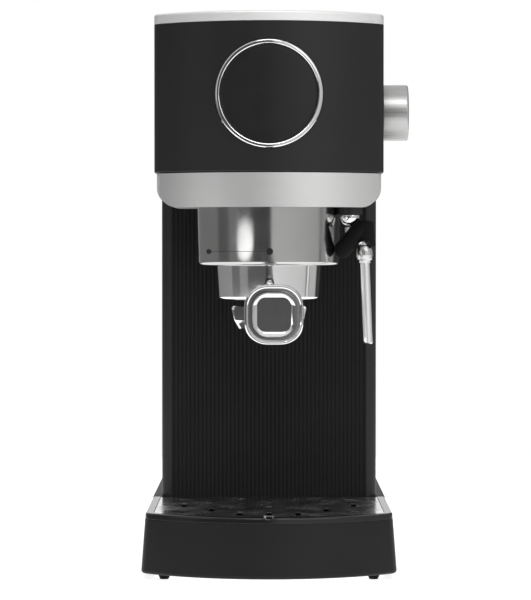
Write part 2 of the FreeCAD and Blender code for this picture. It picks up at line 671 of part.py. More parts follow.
def boiler_parts(bolts):
    low = "cast_top + 0.1"
    flange = "head_low + deck_t + 0.05"
    lower = turned("boiler_lower", [
        (0, low), ("boiler_r", low), ("boiler_r", flange), ("boiler_r + 6", flange),
        ("boiler_r + 6", f"{flange} + 3"),
        ("boiler_r", f"{flange} + 3"), ("boiler_r", "boiler_top - 4"), ("boiler_r + 2", "boiler_top - 4"),
        ("boiler_r + 2", "boiler_top"), ("boiler_r - 6", "boiler_top"), ("boiler_r - 6", f"{low} + 18"),
        (0, f"{low} + 18")], y="group_y")
    holes = [rod(x, f"group_y + {y}", "cast_top - 1", 2.2, 12) for x, y in bolts]
    node("boiler_base", cut(lower, *holes, rod(0, "group_y", "cast_top - 1", 2, 6)))
    node("boiler_seal", turned("boiler_seal", [
        ("boiler_r - 5.5", "boiler_top"), ("boiler_r + 1", "boiler_top"),
        ("boiler_r + 1", "boiler_top + 1.5"), ("boiler_r - 5.5", "boiler_top + 1.5")], y="group_y"))
    cap_low = "boiler_top + 1.6"
    cap = turned("boiler_cap", [
        (0, "boiler_cap - 4"), ("boiler_r - 6", "boiler_cap - 4"), ("boiler_r - 6", cap_low),
        ("boiler_r + 2", cap_low), ("boiler_r + 2", "boiler_top + 6"), ("boiler_r - 2", "boiler_cap"),
        (0, "boiler_cap")], y="group_y")
    node("boiler_cap", cap)
    centre = Vector(0, number("group_y"), number("cast_top") + 26)
    ring = Part.makeTorus(24, 3, centre, UP)
    legs = [Part.makeCylinder(3, 12, centre + Vector(x, 24, 0)) for x in (-6, 6)]
    element = ring.cut(Part.makeBox(8, 12, 8, centre + Vector(-4, 18, -4)))
    for leg in legs:
        element = element.fuse(leg)
    shaped("heating_element", element)
    tops = [rod(x, f"group_y + {y}", "boiler_cap + 0.05", 6, 5) for x, y in ((-16, 8), (-16, -12))]
    node("thermostats", group(*tops))


def water_path():
    x, y = "pump_x", "pump_y"
    body_rod = fuse(rod(x, y, 66, 8.5, 92), rod(x, y, 58, 4, 8.5), rod(x, y, 157, 5, 12))
    coil = block(f"{x} - 20", f"{x} + 20", f"{y} - 19", f"{y} + 19", 84, 126)
    node("pump_body", body_rod)
    node("pump_coil", cut(coil, rod(x, y, 80, 8.6, 60)))
    pads = [cut(block(f"{x} - 14", f"{x} + 14", f"{y} - 13", f"{y} + 13", z, z + 6),
                rod(x, y, z - 1, 8.6, 9)) for z in (70, 140)]
    node("pump_mounts", group(*pads))
    node("pump_bracket", cut(
        fuse(block(-45, 10, "col_back - 5.2", "col_back - 2.2", 62, 152),
             block(f"{x} - 16", f"{x} + 16", f"{y} - 14", "col_back - 4", 66.8, 69.8),
             block(f"{x} - 16", f"{x} + 16", f"{y} - 14", "col_back - 4", 146.2, 149.2)),
        rod(x, y, 60, 9, 100)))
    valve = fuse(rod(30, 26, "head_low + deck_t + 0.1", 5, 30), block(19, 41, 14, 38, 236, 262))
    node("solenoid_valve", valve)
    port = turned("port_cup", [
        (3, -22), (5, -22), (5, -8), (9, -8), (9, -0.7), (11.5, -0.7), (11.5, 0), (7.4, 0), (7.4, -6),
        (3, -6)],
        y="valve_y", z="base_top")
    bridge = block(-3.5, 3.5, "valve_y - 0.8", "valve_y + 0.8", "base_top - 10", "base_top - 7")
    pin = rod(0, "valve_y", "base_top - 10", 1.2, "tank_low - 4.3 - base_top + 10")
    node("tank_port", fuse(port, bridge, pin))
    hose("inlet_hose", [(0, "valve_y", "base_top - 22.2"), (0, "valve_y", 10.5), (-18, 62, 10.5),
                        (x, y, 12), (x, y, 57.8)], 3.2, 3.8, 2)
    hose("pressure_hose", [(x, y, 169.2), (x, y, 214), (-10, 20, 222), (-6, -12, 256), (-6, -40, 262),
                           (0, "group_y + 14", 262), (0, "group_y + 14", "boiler_cap + 0.1")], 2, 5, 1)
    valve_x = "body_w / 2 - 22"
    hose("steam_hose", [(valve_x, "knob_y", "knob_z - 8.2"), (valve_x, "knob_y", 244),
                        ("wand_x", "wand_y", 238), ("wand_x", "wand_y", 216.6)], 2, 3, 1)


def power_board():
    board = block(-55, -53.4, -12, 58, 110, 200)
    sizes = ((14, -6, 18, 118, 16), (12, 18, 24, 118, 22), (9, -4, 14, 150, 20), (16, 20, 16, 156, 28),
             (6, 42, 10, 170, 18))
    chips = [block(-53.4, -53.4 + tall, y, y + wide, z, z + high) for tall, y, wide, z, high in sizes]
    node("power_board", fuse(board, *chips))


# ---------------------------------------------------------------- steam knob and wand

def steam_knob():
    cap = turned("knob_cap", [
        (3.2, 0), ("knob_r - 0.6", 0), ("knob_r", 0.6), ("knob_r", "knob_out - knob_in - 1.2"),
        ("knob_r - 1.2", "knob_out - knob_in"), (0, "knob_out - knob_in"), (0, 9.2), (3.2, 9.2)],
        x="knob_in", y="knob_y", z="knob_z", turn=((0, 1, 0), 90))
    node("steam_knob", cap)
    inner_end = "body_w / 2 - 10"
    node("knob_spindle", rod(inner_end, "knob_y", "knob_z", "spindle_r",
                             f"knob_in + 9 - ({inner_end})", "+X"))
    shell = fuse(rod("body_w / 2 - 32", "knob_y", "knob_z", 8, 27, "+X"),
                 rod("body_w / 2 - 22", "knob_y", "knob_z - 8", 5, 4),
                 block("body_w / 2 - 14", "body_w / 2 - 5.2", "knob_y - 6", "knob_y + 6",
                       "head_low + deck_t + 0.05", "knob_z - 6"))
    bore = rod("body_w / 2 - 10.5", "knob_y", "knob_z", "spindle_r + 0.05", 30, "+X")
    node("steam_valve", cut(shell, bore))


def steam_wand():
    x, y, z = "wand_x", "wand_y", "ball_z"
    centre = Vector(number(x), number(y), number(z))
    ball_r = number("ball_r")
    socket = turned("socket", [
        (3.2, 11.2), (3.2, 7), (6, 2.2), (6.2, 1.2), (7, 1.2), (7, 5.2), (9.6, 5.2), (9.6, 5.7), (7, 5.7),
        (7, 13.6), (3.2, 13.6)], x=x, y=y, z=z)
    beside_skirt = rod(0, "group_y", 200, "skirt_r + skirt_flare + gap", "skirt_top - 199.7")
    node("wand_socket", cut(socket, ball_tool("ball_r + 0.12"), beside_skirt))
    node("wand_ball", ball_tool("ball_r"))
    bend_at = Vector(number("pipe_x"), number(y), centre.z - 14.8)
    tip = Vector(number("pipe_x + wand_lean"), number(y), number("wand_low") + 3)
    path, bends = [centre - UP * (ball_r + 0.4), centre - UP * 9.5, bend_at, tip], [3.5, 4.5]
    straight = (tip - bend_at).normalize()
    collar_at = bend_at + straight * 1.5
    cup = Part.makeCylinder(3.4, 5, centre - UP * (ball_r + 3))
    nozzle = Part.makeCone(number("pipe_r"), 2.2, 3, tip, straight)
    stubs = [cup, nozzle] + collar_stack(collar_at, straight)
    whole = tube_shape(path, number("pipe_r"), bends).fuse(stubs)
    jet = Part.makeCylinder(0.8, 5, tip - straight, straight)
    whole = whole.cut(Part.makeSphere(ball_r + 0.15, centre)).cut(jet)
    shaped("wand_pipe", whole.removeSplitter())
    hollow = tube_shape(path, number("pipe_r") + 0.02, bends).fuse([
        Part.makeCylinder(3.45, 5, centre - UP * (ball_r + 3)),
        Part.makeCylinder(4.95, 14, collar_at - straight * 0.1, straight),
        Part.makeSphere(ball_r + 1.2, centre)])
    shaped("wand_grip", rubber_sleeve(centre, bend_at, straight).cut(hollow))


def collar_stack(start, along):
    """The domed collar below the grip: stubs of (first radius, last radius, length), end to end."""
    stubs = []
    for first, last, length in ((3.6, 4.6, 1.6), (4.6, 4.85, 2.4), (4.85, 4.3, 4), (4.3, 2.9, 2)):
        stubs.append(Part.makeCone(first, last, length, start, along))
        start = start + along * length
    return stubs


def rubber_sleeve(centre, bend_at, along):
    """The heat guard: a sleeve over the pipe's bend, arched at its foot, with a thumb tab on one side."""
    radius = number("sleeve_r")
    top = bend_at - along * 12.6
    sleeve = Part.makeCone(radius, radius + 0.3, 15, top, along)
    crown = [edge for edge in sleeve.Edges if edge.BoundBox.ZMin > top.z - 1]
    sleeve = sleeve.makeFillet(2.6, crown)
    lip = Part.makeCone(radius + 0.3, radius + 0.8, 1.6, top + along * 13.4, along)
    tab_r, run = number("tab_r"), 14
    tab = Part.makeCylinder(tab_r, run).fuse([Part.makeSphere(tab_r), Part.makeSphere(tab_r, UP * run)])
    flatten = FreeCAD.Matrix()
    flatten.scale(1, 0.8, 1)
    tab = tab.removeSplitter().transformGeometry(flatten)
    tab.rotate(Vector(), Vector(0, 1, 0), number("tab_tilt"))
    tab.translate(centre + Vector(-4.2, -3, -18.6))
    arch = Part.makeCylinder(5, 30, Vector(bend_at.x, bend_at.y - 15, bend_at.z - 4.1), Vector(0, 1, 0))
    return sleeve.fuse([lip, tab]).cut(arch)


def ball_tool(radius):
    ball = bind(doc.addObject("Part::Sphere", "ball_tool"), Radius=radius)
    return place(ball, "wand_x", "wand_y", "ball_z")


# ---------------------------------------------------------------- portafilter

def handle_placed(thing, along=0):
    """Lays an object built along -Y from the group's axis onto the handle's own axis."""
    tilt = FreeCAD.Rotation(Vector(1, 0, 0), number("handle_tilt"))
    swing = FreeCAD.Rotation(UP, number("handle_swing"))
    thing.Placement = FreeCAD.Placement(Vector(), swing * tilt)
    return bind(thing, Placement__Base__y="group_y", Placement__Base__z="handle_z")


def squircle(part, width, height, corner, level):
    """A rounded square sketch across the handle's axis."""
    w, h, c = f"({width}) / 2", f"({height}) / 2", corner
    corners = [(f"-{w} + {c}", f"-{h}"), (f"{w} - {c}", f"-{h}"), (w, f"-{h} + {c}"), (w, f"{h} - {c}"),
               (f"{w} - {c}", h), (f"-{w} + {c}", h), (f"-{w}", f"{h} - {c}"), (f"-{w}", f"-{h} + {c}")]
    return outline(part, "XZ", corners, level, {1: (c, -1), 3: (c, -1), 5: (c, -1), 7: (c, -1)})


def squircle_block(name, width, height, corner, near, far):
    """A rounded square bar along the handle's axis, from one distance to another."""
    part = body(name)
    profile = squircle(part, width, height, corner, f"-({near})")
    feature(part, "Pad", profile, f"({far}) - ({near})", back=True)
    return handle_placed(part)


def handle_bar(name, radius, near, far):
    """A round bar along the handle's axis, from one distance to another."""
    part = body(name)
    profile = circle(part, "XZ", 0, 0, radius, f"-({near})")
    feature(part, "Pad", profile, f"({far}) - ({near})", back=True)
    return handle_placed(part)


def portafilter_parts():
    bowl = turned("bowl", [
        (3.5, "bowl_low"), ("bowl_foot - 2", "bowl_low"), ("bowl_foot", "bowl_low + 2"),
        ("bowl_r", "rim_z - 6"), ("rim_r", "rim_z - 5"), ("rim_r", "rim_z"), ("bowl_r - bowl_wall", "rim_z"),
        ("bowl_foot - bowl_wall", "bowl_low + bowl_wall + 1"), (3.5, "bowl_low + bowl_wall + 1")],
        {1: (2, -1)}, y="group_y")
    ear_plan = sector(bowl, "rim_r - 1.5", "ear_r", "ear_angle", "cast_low + lug_t + 0.3")
    repeat_round(bowl, feature(bowl, "Pad", ear_plan, "ear_t"), 3)
    neck = handle_bar("neck", "neck_r", "bowl_foot - 1", "grip_start")
    stem = handle_bar("stem", 3, "grip_start - 2", "stem_end")
    node("portafilter_body", fuse(bowl, neck, stem))
    node("filter_basket", turned("basket", [
        (0, "basket_low"), ("basket_r", "basket_low"), ("basket_r", "rim_z"), ("basket_flange", "rim_z"),
        ("basket_flange", "rim_z + basket_t"), ("basket_r - basket_t", "rim_z + basket_t"),
        ("basket_r - basket_t", "basket_low + basket_t"), (0, "basket_low + basket_t")], y="group_y"))
    spring = Part.makeTorus(number("basket_r") + 0.55, 0.45, Vector(0, number("group_y"), 178), UP)
    shaped("basket_spring", spring)


def handle_parts():
    grip = body("grip_loft")
    loft = grip.newObject("PartDesign::AdditiveLoft", "grip_blend")
    stations = (("grip_start", "grip_small", 6.5), ("grip_start + 40", "grip_waist", 8.5),
                ("handle_end - ring_deep", "grip_large", 11))
    profiles = [squircle(grip, width, width, corner, f"-({along})") for along, width, corner in stations]
    loft.Profile = profiles[0]
    loft.Sections = profiles[1:]
    handle_placed(grip)
    stem_hole = handle_bar("grip_bore", 3.1, "grip_start - 12", "stem_end + 2")
    node("handle_grip", cut(grip, stem_hole))
    ring_near, ring_far = "handle_end - ring_deep + 0.02", "handle_end"
    ring = squircle_block("ring_out", "ring_w", "ring_w + 0.4", 11.5, ring_near, ring_far)
    hollow = squircle_block("ring_in", "ring_w - 2 * ring_wall", "ring_w - 2 * ring_wall + 0.4", 9.4,
                            "handle_end - 4", "handle_end + 2")
    node("handle_ring", cut(ring, hollow))
    node("handle_cap", dished_cap())


def dished_cap():
    """End cap of the grip: a square dish whose sides slope in to a flat square."""
    frame = squircle_block("cap_frame", 23.6, 24, 8.6, "handle_end - 3.98", "handle_end - 0.6")
    slope = body("cap_slope")
    dish = slope.newObject("PartDesign::AdditiveLoft", "cap_blend")
    dish.Profile = squircle(slope, 22.4, 22.8, 8, "-(handle_end - 0.59)")
    dish.Sections = [squircle(slope, "pad_w + 0.6", "pad_w + 1", 4.4, "-(handle_end - 2.6)")]
    inset = squircle_block("badge", "pad_w", "pad_w + 0.4", 4.1, "handle_end - 3", "handle_end - 2.3")
    return fuse(cut(frame, handle_placed(slope)), inset)


def spout_block():
    part = body("spout_blank")
    w = "spout_w / 2"
    corners = [(f"-{w}", "spout_top"), (f"-{w} + 2", "spout_low + 5"), (f"-{w} + 5", "spout_low"),
               (-10, "spout_low"), (-8, "spout_low + 6"), (8, "spout_low + 6"), (10, "spout_low"),
               (f"{w} - 5", "spout_low"), (f"{w} - 2", "spout_low + 5"), (w, "spout_top"),
               (8, "spout_top"), (8, "bowl_low - 0.05"), (-8, "bowl_low - 0.05"), (-8, "spout_top")]
    profile = outline(part, "XZ", corners, "-spout_d / 2")
    feature(part, "Pad", profile, "spout_d")
    limit = number("spout_top") + 0.1
    round_edges(part, 2.4, lambda edge: edge.BoundBox.YLength < 0.01 and edge.BoundBox.ZMax < limit)
    place(part, 0, "group_y")
    ways = [rod(f"{side} * (spout_w / 2 - 8)", "group_y", "spout_low - 1", 2.5, 8) for side in (-1, 1)]
    inlet = rod(0, "group_y", "spout_low + 9", 3.4, 20)
    across = rod("-(spout_w / 2 - 8)", "group_y", "spout_top - 4", 2.4, "spout_w - 16", "+X")
    node("spout_block", cut(part, *ways, inlet, across))


# ---------------------------------------------------------------- tank

def tank_corners(inset):
    half, near, far = f"tank_half - {inset}", f"tank_front + {inset}", f"tank_rear - {inset}"
    return [(f"-({half})", near), (half, near), (half, far), (f"-({half})", far)]


def tank_parts():
    blank = body("tank_blank")
    feature(blank, "Pad", outline(blank, "XY", tank_corners(0), "tank_low"), "tank_top - tank_low")
    round_edges(blank, 6, upright)
    room = body("tank_room")
    plan = outline(room, "XY", tank_corners("tank_wall"), "tank_low + tank_wall")
    feature(room, "Pad", plan, "tank_top - tank_low")
    round_edges(room, 4, upright)
    lugs = [cut(fuse(block(x - 3, x + 3, "hinge_y - 3.2", "hinge_y + 3.2", "tank_top - 6", "hinge_z"),
                     rod(x - 3, "hinge_y", "hinge_z", 3.2, 6, "+X")),
                rod(x - 4, "hinge_y", "hinge_z", "hinge_r", 8, "+X")) for x in (-50, 50)]
    lugs = [common(lug, block(-60, 60, "hinge_y - 10", "tank_rear", 280, 310)) for lug in lugs]
    valve_hole = rod(0, "valve_y", "tank_low - 1", 6.45, 6)
    node("water_tank", fuse(cut(blank, room, valve_hole), *lugs))
    node("tank_valve", turned("tank_valve", [
        (2.3, -5), (6.4, -5), (6.4, 2.1), (9, 2.1), (9, 4), (6, 4), (6, 13), (2.3, 13), (2.3, 12),
        (4.6, 12), (4.6, -2), (2.3, -2)], y="valve_y", z="tank_low"))
    node("valve_plunger", turned("valve_plunger", [
        (0, -5.2), (1.6, -5.2), (1.6, 0), (4.2, 0), (4.2, 1.2), (1.6, 1.2), (1.6, 11), (0, 11)],
        y="valve_y", z="tank_low + 1"))
    coil = Part.makeHelix(2.2, 7.9, 3.1)
    wire = Part.Wire(Part.makeCircle(0.35, Vector(3.1, 0, 0), Vector(0, 1, 0)))
    spring = Part.Wire(coil.Edges).makePipeShell([wire], True, True)
    spring.translate(Vector(0, number("valve_y"), number("tank_low") + 3))
    shaped("valve_spring", spring)


def tank_lid():
    half = "tank_half + 1"
    blank = body("lid_blank")
    corners = [(f"-({half})", "tank_front - 1.2"), (half, "tank_front - 1.2"), (half, "tank_rear"),
               (f"-({half})", "tank_rear")]
    feature(blank, "Pad", outline(blank, "XY", corners, "hinge_z + 3.8"), "height - hinge_z - 3.8")
    round_edges(blank, 6, upright)
    round_edges(blank, 1.4, level_at("height"))
    rim = body("lid_rim")
    outer = [(f"-({half})", "tank_front - 1.2"), (half, "tank_front - 1.2"), (half, "hinge_y - 6"),
             (f"-({half})", "hinge_y - 6")]
    sketch = outline(rim, "XY", outer, "tank_top + 0.4")
    feature(rim, "Pad", sketch, "hinge_z + 4 - tank_top - 0.4")
    room = block(f"-({half}) + 2.5", f"{half} - 2.5", "tank_front + 1.3", "hinge_y",
                 "tank_top", "hinge_z + 3.8")
    barrel = fuse(rod(-46, "hinge_y", "hinge_z", 3.2, 92, "+X"),
                  block(-46, 46, "hinge_y - 2", "hinge_y + 2", "hinge_z", "hinge_z + 4"))
    pin_hole = rod(-60, "hinge_y", "hinge_z", "hinge_r + 0.05", 120, "+X")
    pull = rod(0, "tank_front - 4", "height + 3", 9, 14, "+Y")
    node("tank_lid", cut(fuse(blank, cut(rim, room), barrel), pin_hole, pull))
    node("lid_pin", rod(-53, "hinge_y", "hinge_z", "hinge_r", 106, "+X"))


# ---------------------------------------------------------------- build, check and write

def build():
    base_plate()
    housing_screws()
    rubber_feet()
    base_housing()
    cord_gland()
    drip_tray()
    drip_grid()
    ribbed_panel()
    node("column_side_right", column_side("side_right", 1))
    posts = [rod("-body_w / 2 + 1", y, z, 2.5, 7.9, "+X") for y in (-6, 52) for z in (116, 194)]
    node("column_side_left", fuse(column_side("side_left", -1), *posts))
    rear_panel()
    head_shell()
    top_plate()
    chassis_deck()
    nose_pan()
    trim_band()
    control_parts()
    bolts = group_parts()
    boiler_parts(bolts)
    water_path()
    power_board()
    steam_knob()
    steam_wand()
    portafilter_parts()
    handle_parts()
    spout_block()
    tank_parts()
    tank_lid()


def check_and_write():
    """Stops on any failed object, then writes each sub-part to parts/."""
    doc.recompute()
    failed = [thing.Label for thing in doc.Objects if {"Invalid", "Error"} & set(thing.State)]
    if failed:
        raise RuntimeError(f"failed objects: {failed}")
    os.makedirs("parts", exist_ok=True)
    for label, thing in sorted(NODES.items()):
        shape = thing.Shape
        if shape.isNull() or not shape.isValid() or not shape.Solids:
            raise RuntimeError(f"{label} has no valid solid")
        shape.exportStep(os.path.join("parts", label + ".step"))
        box = shape.BoundBox
        print(f"{label:22s} solids {len(shape.Solids):2d}  volume {shape.Volume / 1000:9.2f} cm3  "
              f"x {box.XMin:7.1f} {box.XMax:7.1f}  y {box.YMin:7.1f} {box.YMax:7.1f}  "
              f"z {box.ZMin:7.1f} {box.ZMax:7.1f}")
    print(len(NODES), "nodes")


build()
check_and_write()
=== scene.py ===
"""Looks of the slim espresso machine: finishes, finer meshes where metal shines, and the studio."""
import json
import math

import bmesh
import bpy
from mathutils import Matrix, Vector


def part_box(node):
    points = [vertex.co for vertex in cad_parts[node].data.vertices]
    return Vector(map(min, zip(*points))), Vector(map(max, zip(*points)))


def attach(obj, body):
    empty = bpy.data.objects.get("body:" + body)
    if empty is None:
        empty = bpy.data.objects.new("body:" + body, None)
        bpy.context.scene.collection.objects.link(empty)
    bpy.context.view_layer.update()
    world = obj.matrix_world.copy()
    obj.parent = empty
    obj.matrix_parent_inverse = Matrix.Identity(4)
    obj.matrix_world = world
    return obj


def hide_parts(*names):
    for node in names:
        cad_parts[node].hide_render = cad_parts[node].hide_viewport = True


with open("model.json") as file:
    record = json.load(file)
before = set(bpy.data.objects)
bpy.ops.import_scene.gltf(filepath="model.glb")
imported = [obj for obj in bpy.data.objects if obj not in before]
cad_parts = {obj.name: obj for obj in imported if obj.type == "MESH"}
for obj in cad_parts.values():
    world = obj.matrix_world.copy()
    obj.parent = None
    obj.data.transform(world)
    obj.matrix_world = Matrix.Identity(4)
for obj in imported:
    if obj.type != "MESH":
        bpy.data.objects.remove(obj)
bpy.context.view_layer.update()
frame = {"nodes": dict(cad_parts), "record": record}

MM = 0.001

# ---------------------------------------------------------------- places and sizes, in metres


def middle(node):
    """The centre of a CAD node's box."""
    low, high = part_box(node)
    return (low + high) / 2


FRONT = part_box("head_shell")[0].y
BOW = 92 * MM                                  # radius of the bowed front, seen from above
SKIRT_LOW, SKIRT_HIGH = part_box("group_skirt")
GROUP = middle("group_skirt")                   # the brewing group's vertical axis
SKIRT_R = (SKIRT_HIGH.x - SKIRT_LOW.x) / 2       # at its top
SKIRT_FLARE = 0.9 * MM                          # how much narrower it is at its foot
DIAL = middle("control_bezel")
DIAL_R = (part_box("control_bezel")[1].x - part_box("control_bezel")[0].x) / 2
KNOB_LOW, KNOB_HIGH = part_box("steam_knob")
KNOB = middle("steam_knob")
BALL = middle("wand_ball")
BALL_R = 5.6 * MM
WAND_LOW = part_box("wand_pipe")[0].z
TRAY_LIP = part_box("base_housing")[1].z - 3.4 * MM   # foot of the tray's glossy upper lip
HANDLE_TILT = math.radians(2.9)                 # the handle drops towards its end
HANDLE_SWING = math.radians(0.93)               # and points slightly towards +X
HANDLE_ROOT = Vector((0, GROUP.y, 158.4 * MM))
HANDLE_END = 160 * MM                           # from the group's axis, along the handle
TALLER = 0.4                                    # the handle is this many mm taller than it is wide
HANDLE = (Matrix.Translation(HANDLE_ROOT) @ Matrix.Rotation(HANDLE_SWING, 4, "Z")
          @ Matrix.Rotation(HANDLE_TILT, 4, "X"))


def bow_y(x, inset=0.0):
    """Where the bowed front lies at x, a given distance inside the head's own front."""
    return FRONT + BOW - math.sqrt((BOW - inset) ** 2 - x * x)


# ---------------------------------------------------------------- mesh tools

def add_piece(name, bm, body, finish, replaces=(), sharp=40):
    """Makes an object of a bmesh, shades it smooth, gives it a finish and lets it ride on a body."""
    bmesh.ops.remove_doubles(bm, verts=bm.verts, dist=1e-7)
    bmesh.ops.recalc_face_normals(bm, faces=bm.faces)
    mesh = bpy.data.meshes.new(name)
    bm.to_mesh(mesh)
    bm.free()
    mesh.shade_smooth()
    mesh.set_sharp_from_angle(angle=math.radians(sharp))
    piece = bpy.data.objects.new(name, mesh)
    bpy.context.scene.collection.objects.link(piece)
    mesh.materials.append(finish)
    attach(piece, body)
    if replaces:
        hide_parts(*replaces)


def rounded(corners, steps=7, closed=True):
    """Points along a polygon of (x, y, radius) corners, each corner turned into an arc of its radius."""
    points, count = [], len(corners)
    for i, (x, y, radius) in enumerate(corners):
        here = Vector((x, y))
        if radius <= 0 or (not closed and i in (0, count - 1)):
            points.append(here)
            continue
        back = (Vector(corners[i - 1][:2]) - here).normalized()
        ahead = (Vector(corners[(i + 1) % count][:2]) - here).normalized()
        half = back.angle(ahead) / 2
        centre = here + (back + ahead).normalized() * radius / math.sin(half)
        start = here + back * radius / math.tan(half) - centre
        sweep = start.angle_signed(here + ahead * radius / math.tan(half) - centre)
        for k in range(steps + 1):
            points.append(centre + Matrix.Rotation(-sweep * k / steps, 2) @ start)
    return points


def join_rings(bm, rings, closed=True):
    """Faces between rings of points; closed also joins the last ring to the first."""
    rows = [[bm.verts.new(point) for point in ring] for ring in rings]
    pairs = list(zip(rows, rows[1:])) + ([(rows[-1], rows[0])] if closed else [])
    for row, other in pairs:
        for k in range(len(row)):
            j = (k + 1) % len(row)
            bm.faces.new((row[k], row[j], other[j], other[k]))
    return rows


def capped_rings(bm, rings):
    """Faces between rings of points, with a flat face over the first ring and over the last."""
    rows = join_rings(bm, rings, closed=False)
    bm.faces.new(rows[0])
    bm.faces.new(rows[-1])


def lathe(section, place, turns=192):
    """A solid turned about +Z from a closed section of (radius, height) points, then placed by a matrix."""
    bm = bmesh.new()
    rings = []
    for k in range(turns):
        turn = Matrix.Rotation(2 * math.pi * k / turns, 4, "Z")
        rings.append([place @ turn @ Vector((r, 0, height)) for r, height in section])
    join_rings(bm, rings)
    return bm


def sweep(bm, path, section_at):
    """Rings of points along a path, capped at both ends; section_at(i) gives ring i's (x, y) points."""
    rings = []
    side = Vector((0, 1, 0))
    for i, point in enumerate(path):
        along = (path[min(i + 1, len(path) - 1)] - path[max(i - 1, 0)]).normalized()
        across = side.cross(along).normalized()
        up = along.cross(across)
        rings.append([point + across * x + up * y for x, y in section_at(i)])
    capped_rings(bm, rings)


def circle(radius, count=48):
    """Points round a circle, centred on the origin."""
    return [(radius * math.cos(2 * math.pi * k / count), radius * math.sin(2 * math.pi * k / count))
            for k in range(count)]


def rounded_square(width, height, corner, steps=10):
    """A rounded rectangle's outline, centred on the origin."""
    w, h = width / 2, height / 2
    return rounded([(w, -h, corner), (w, h, corner), (-w, h, corner), (-w, -h, corner)], steps)


def handle_solid(stations):
    """A bar of rounded squares across the handle's axis; stations are (along, width, corner), in mm."""
    bm = bmesh.new()
    rings = []
    for along, width, corner in stations:
        outline = rounded_square(width * MM, (width + TALLER) * MM, corner * MM)
        rings.append([HANDLE @ Vector((x, -along * MM, y)) for x, y in outline])
    capped_rings(bm, rings)
    return bm


# ---------------------------------------------------------------- finishes

class Finish:
    """A Principled material and the few nodes that give it grain, streaks and wear."""

    def __init__(self, name, colour, roughness, metallic=0.0, **sockets):
        self.material = bpy.data.materials.new(name)
        self.material.use_nodes = True
        self.nodes = self.material.node_tree.nodes
        self.links = self.material.node_tree.links
        self.shader = self.nodes["Principled BSDF"]
        self.colour, self.roughness = colour, roughness
        self.shader.inputs["Base Color"].default_value = (*colour, 1)
        self.shader.inputs["Roughness"].default_value = roughness
        self.shader.inputs["Metallic"].default_value = metallic
        for socket, value in sockets.items():
            self.shader.inputs[socket.replace("_", " ")].default_value = value

    def noise(self, scale, detail=3.0, centre=(0, 0, 0)):
        """A noise over the object's own coordinates; scale is per metre along X, Y and Z."""
        place = self.nodes.new("ShaderNodeTexCoord")
        mapping = self.nodes.new("ShaderNodeMapping")
        mapping.inputs["Scale"].default_value = scale
        mapping.inputs["Location"].default_value = [-c * s for c, s in zip(centre, scale)]
        texture = self.nodes.new("ShaderNodeTexNoise")
        texture.inputs["Scale"].default_value = 1
        texture.inputs["Detail"].default_value = detail
        self.links.new(place.outputs["Object"], mapping.inputs["Vector"])
        self.links.new(mapping.outputs["Vector"], texture.inputs["Vector"])
        return texture.outputs["Fac"]

    def spread(self, value, low, high, start=0.3, stop=0.7):
        """A value mapped on to a range."""
        node = self.nodes.new("ShaderNodeMapRange")
        node.inputs["From Min"].default_value = start
        node.inputs["From Max"].default_value = stop
        node.inputs["To Min"].default_value = low
        node.inputs["To Max"].default_value = high
        self.links.new(value, node.inputs["Value"])
        return node.outputs["Result"]

    def vary_roughness(self, value, amount):
        """Lets the roughness drift up and down by an amount."""
        self.links.new(self.spread(value, self.roughness - amount, self.roughness + amount),
                       self.shader.inputs["Roughness"])

    def vary_colour(self, value, amount):
        """Lightens and darkens the base colour by a share of it."""
        mix = self.nodes.new("ShaderNodeMix")
        mix.data_type = "RGBA"
        darker, lighter = ([c * (1 + side * amount) for c in self.colour] for side in (-1, 1))
        mix.inputs["A"].default_value = (*darker, 1)
        mix.inputs["B"].default_value = (*lighter, 1)
        self.links.new(self.spread(value, 0, 1), mix.inputs["Factor"])
        self.links.new(mix.outputs["Result"], self.shader.inputs["Base Color"])

    def add_bump(self, value, strength, height):
        """Adds a bump of a given height, in metres."""
        node = self.nodes.new("ShaderNodeBump")
        node.inputs["Strength"].default_value = strength
        node.inputs["Distance"].default_value = height
        self.links.new(value, node.inputs["Height"])
        self.links.new(node.outputs["Normal"], self.shader.inputs["Normal"])
        return self


def even(scale):
    """The same scale along X, Y and Z."""
    return (scale, scale, scale)


def painted(name, colour, roughness, **sockets):
    """Satin paint on sheet metal: faint orange peel, and a slow drift of tone and gloss."""
    finish = Finish(name, colour, roughness, **sockets)
    finish.vary_colour(finish.noise(even(14)), 0.06)
    finish.vary_roughness(finish.noise(even(60)), 0.04)
    return finish.add_bump(finish.noise(even(900), 2), 0.10, 0.00004)


def moulded(name, colour, roughness, grain=2200, depth=0.25, **sockets):
    """Moulded plastic with a fine spark-eroded grain."""
    finish = Finish(name, colour, roughness, **sockets)
    finish.vary_colour(finish.noise(even(25)), 0.08)
    finish.vary_roughness(finish.noise(even(120)), 0.05)
    return finish.add_bump(finish.noise(even(grain), 2), depth, 0.00004)


def brushed(name, colour, roughness, scale, streaks=0.06, depth=0.12, gloss=0.3):
    """Metal brushed along the axis with the smallest scale; gloss is how far its roughness varies."""
    finish = Finish(name, colour, roughness, 1.0)
    lines = finish.noise(scale, 4)
    finish.vary_colour(lines, streaks)
    finish.vary_roughness(lines, roughness * gloss)
    if depth:
        finish.add_bump(lines, depth, 0.00002)
    return finish


def polished(name, colour, roughness, scale=(5, 5, 2200)):
    """Polished metal with the trace of its last buffing and slight smears."""
    finish = Finish(name, colour, roughness, 1.0)
    finish.vary_colour(finish.noise(even(45), 2), 0.03)
    finish.vary_roughness(finish.noise(scale, 3), roughness * 0.35)
    return finish.add_bump(finish.noise(scale, 2), 0.05, 0.00001)


